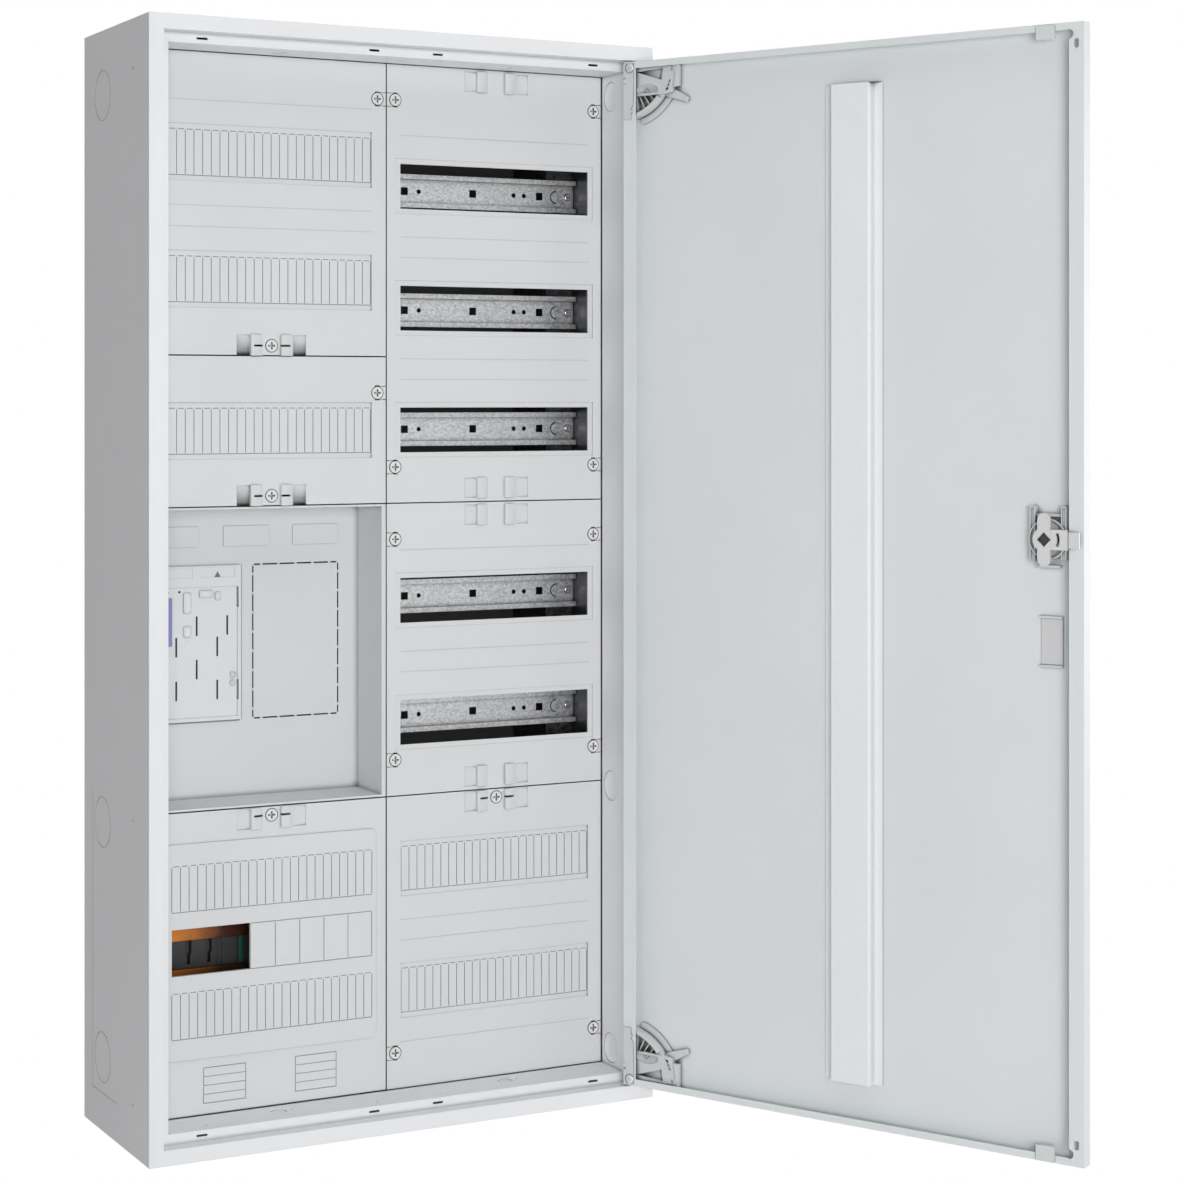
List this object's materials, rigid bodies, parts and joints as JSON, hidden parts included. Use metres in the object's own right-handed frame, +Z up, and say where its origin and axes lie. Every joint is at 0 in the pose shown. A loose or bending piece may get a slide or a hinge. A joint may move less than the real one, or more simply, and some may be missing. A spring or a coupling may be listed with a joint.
{
  "type": "residential load center",
  "caption": "Wall cabinet for meters and modular breakers: two columns of covers, sunk meter place, top-hat rails, busbars and an inset hinged door with a latch.",
  "frame": {"origin": "centre of the back wall's outer face", "axes": "+X to the right as the front is seen, +Y backwards into the wall, +Z up"},
  "size_m": [0.7632, 0.6638, 1.1],
  "materials": {
    "coated_steel": "light grey powder coat, fine texture",
    "coated_frame": "light grey powder coat, satin",
    "galvanised_steel": "galvanised, mottled satin",
    "upright_zinc": "galvanised, dull",
    "cover_plastic": "moulded, fine satin",
    "tray_plastic": "moulded, lightly grained",
    "carrier_plastic": "moulded, dull",
    "busbar_copper": "copper, dull",
    "earth_green": "moulded",
    "slider_plastic": "moulded",
    "lock_plastic": "moulded",
    "coated_door": "light grey powder coat, satin",
    "latch_metal": "zinc plated",
    "hinge_nylon": "moulded",
    "label_plastic": "clear-grey pocket",
    "buffer_rubber": "soft grey"
  },
  "bodies": {
    "cabinet": {"enclosure_shell": "coated_steel", "cable_plate_top": "coated_steel", "cable_plate_bottom": "coated_steel", "front_frame": "coated_frame", "upright_left": "upright_zinc", "upright_centre": "upright_zinc", "upright_right": "upright_zinc", "din_rail_1": "galvanised_steel", "din_rail_2": "galvanised_steel", "din_rail_3": "galvanised_steel", "din_rail_4": "galvanised_steel", "din_rail_5": "galvanised_steel", "cover_left_top": "cover_plastic", "cover_left_middle": "cover_plastic", "cover_left_bottom": "cover_plastic", "cover_right_top": "cover_plastic", "cover_right_middle": "cover_plastic", "cover_right_bottom": "cover_plastic", "meter_tray": "tray_plastic", "meter_adapter": "tray_plastic", "busbar_carrier": "carrier_plastic", "busbar_upper": "busbar_copper", "busbar_lower": "busbar_copper", "earth_link": "earth_green", "pin_bearing_top": "latch_metal", "pin_bearing_bottom": "latch_metal"},
    "door": {"door_pan": "coated_door", "door_stiffener": "coated_door", "latch_housing": "hinge_nylon", "label_holder": "label_plastic", "door_buffer_top": "buffer_rubber", "door_buffer_bottom": "buffer_rubber", "hinge_corner_top": "hinge_nylon", "hinge_corner_bottom": "hinge_nylon", "hinge_pin_top": "latch_metal", "hinge_pin_bottom": "latch_metal"},
    "latch": {"latch_barrel": "latch_metal", "latch_cam": "latch_metal"},
    "meter_slider": {"adapter_slider": "slider_plastic"},
    "lock_left_top_1": {"lock_left_top_1": "lock_plastic"},
    "lock_left_top_2": {"lock_left_top_2": "lock_plastic"},
    "lock_left_top_3": {"lock_left_top_3": "lock_plastic"},
    "lock_left_middle_1": {"lock_left_middle_1": "lock_plastic"},
    "lock_left_middle_2": {"lock_left_middle_2": "lock_plastic"},
    "lock_left_middle_3": {"lock_left_middle_3": "lock_plastic"},
    "lock_left_bottom_1": {"lock_left_bottom_1": "lock_plastic"},
    "lock_right_top_1": {"lock_right_top_1": "lock_plastic"},
    "lock_right_top_2": {"lock_right_top_2": "lock_plastic"},
    "lock_right_top_3": {"lock_right_top_3": "lock_plastic"},
    "lock_right_top_4": {"lock_right_top_4": "lock_plastic"},
    "lock_right_middle_1": {"lock_right_middle_1": "lock_plastic"},
    "lock_right_middle_2": {"lock_right_middle_2": "lock_plastic"},
    "lock_right_middle_3": {"lock_right_middle_3": "lock_plastic"},
    "lock_right_middle_4": {"lock_right_middle_4": "lock_plastic"},
    "lock_right_bottom_1": {"lock_right_bottom_1": "lock_plastic"},
    "lock_right_bottom_2": {"lock_right_bottom_2": "lock_plastic"},
    "lock_right_bottom_3": {"lock_right_bottom_3": "lock_plastic"}
  },
  "joints": [
    {"name": "door_swing", "type": "hinge", "parent": "cabinet", "child": "door", "pos_m": [0.2535, -0.2015, 0], "axis": [0, 0, 1], "range_deg": [-117, 3]},
    {"name": "latch_turn", "type": "hinge", "parent": "door", "child": "latch", "pos_m": [0.45687, -0.62818, 0.05], "axis": [-0.891, -0.454, 0], "range_deg": [0, 90]},
    {"name": "slider_travel", "type": "slide", "parent": "cabinet", "child": "meter_slider", "axis": [0, 0, -1], "range_m": [0, 0.012]},
    {"name": "lock_left_top_1_turn", "type": "hinge", "parent": "cabinet", "child": "lock_left_top_1", "pos_m": [-0.24, -0.138, 0.488], "axis": [0, -1, 0], "range_deg": [0, 90]},
    {"name": "lock_left_top_2_turn", "type": "hinge", "parent": "cabinet", "child": "lock_left_top_2", "pos_m": [-0.01, -0.138, 0.488], "axis": [0, -1, 0], "range_deg": [0, 90]},
    {"name": "lock_left_top_3_turn", "type": "hinge", "parent": "cabinet", "child": "lock_left_top_3", "pos_m": [-0.125, -0.138, 0.235], "axis": [0, -1, 0], "range_deg": [0, 90]},
    {"name": "lock_left_middle_1_turn", "type": "hinge", "parent": "cabinet", "child": "lock_left_middle_1", "pos_m": [-0.24, -0.138, 0.188], "axis": [0, -1, 0], "range_deg": [0, 90]},
    {"name": "lock_left_middle_2_turn", "type": "hinge", "parent": "cabinet", "child": "lock_left_middle_2", "pos_m": [-0.01, -0.138, 0.188], "axis": [0, -1, 0], "range_deg": [0, 90]},
    {"name": "lock_left_middle_3_turn", "type": "hinge", "parent": "cabinet", "child": "lock_left_middle_3", "pos_m": [-0.125, -0.138, 0.085], "axis": [0, -1, 0], "range_deg": [0, 90]},
    {"name": "lock_left_bottom_1_turn", "type": "hinge", "parent": "cabinet", "child": "lock_left_bottom_1", "pos_m": [-0.125, -0.138, -0.234], "axis": [0, -1, 0], "range_deg": [0, 90]},
    {"name": "lock_right_top_1_turn", "type": "hinge", "parent": "cabinet", "child": "lock_right_top_1", "pos_m": [0.01, -0.138, 0.488], "axis": [0, -1, 0], "range_deg": [0, 90]},
    {"name": "lock_right_top_2_turn", "type": "hinge", "parent": "cabinet", "child": "lock_right_top_2", "pos_m": [0.24, -0.138, 0.488], "axis": [0, -1, 0], "range_deg": [0, 90]},
    {"name": "lock_right_top_3_turn", "type": "hinge", "parent": "cabinet", "child": "lock_right_top_3", "pos_m": [0.01, -0.138, 0.112], "axis": [0, -1, 0], "range_deg": [0, 90]},
    {"name": "lock_right_top_4_turn", "type": "hinge", "parent": "cabinet", "child": "lock_right_top_4", "pos_m": [0.24, -0.138, 0.112], "axis": [0, -1, 0], "range_deg": [0, 90]},
    {"name": "lock_right_middle_1_turn", "type": "hinge", "parent": "cabinet", "child": "lock_right_middle_1", "pos_m": [0.01, -0.138, 0.038], "axis": [0, -1, 0], "range_deg": [0, 90]},
    {"name": "lock_right_middle_2_turn", "type": "hinge", "parent": "cabinet", "child": "lock_right_middle_2", "pos_m": [0.24, -0.138, 0.038], "axis": [0, -1, 0], "range_deg": [0, 90]},
    {"name": "lock_right_middle_3_turn", "type": "hinge", "parent": "cabinet", "child": "lock_right_middle_3", "pos_m": [0.01, -0.138, -0.188], "axis": [0, -1, 0], "range_deg": [0, 90]},
    {"name": "lock_right_middle_4_turn", "type": "hinge", "parent": "cabinet", "child": "lock_right_middle_4", "pos_m": [0.24, -0.138, -0.188], "axis": [0, -1, 0], "range_deg": [0, 90]},
    {"name": "lock_right_bottom_1_turn", "type": "hinge", "parent": "cabinet", "child": "lock_right_bottom_1", "pos_m": [0.125, -0.138, -0.234], "axis": [0, -1, 0], "range_deg": [0, 90]},
    {"name": "lock_right_bottom_2_turn", "type": "hinge", "parent": "cabinet", "child": "lock_right_bottom_2", "pos_m": [0.01, -0.138, -0.488], "axis": [0, -1, 0], "range_deg": [0, 90]},
    {"name": "lock_right_bottom_3_turn", "type": "hinge", "parent": "cabinet", "child": "lock_right_bottom_3", "pos_m": [0.24, -0.138, -0.488], "axis": [0, -1, 0], "range_deg": [0, 90]}
  ]
}
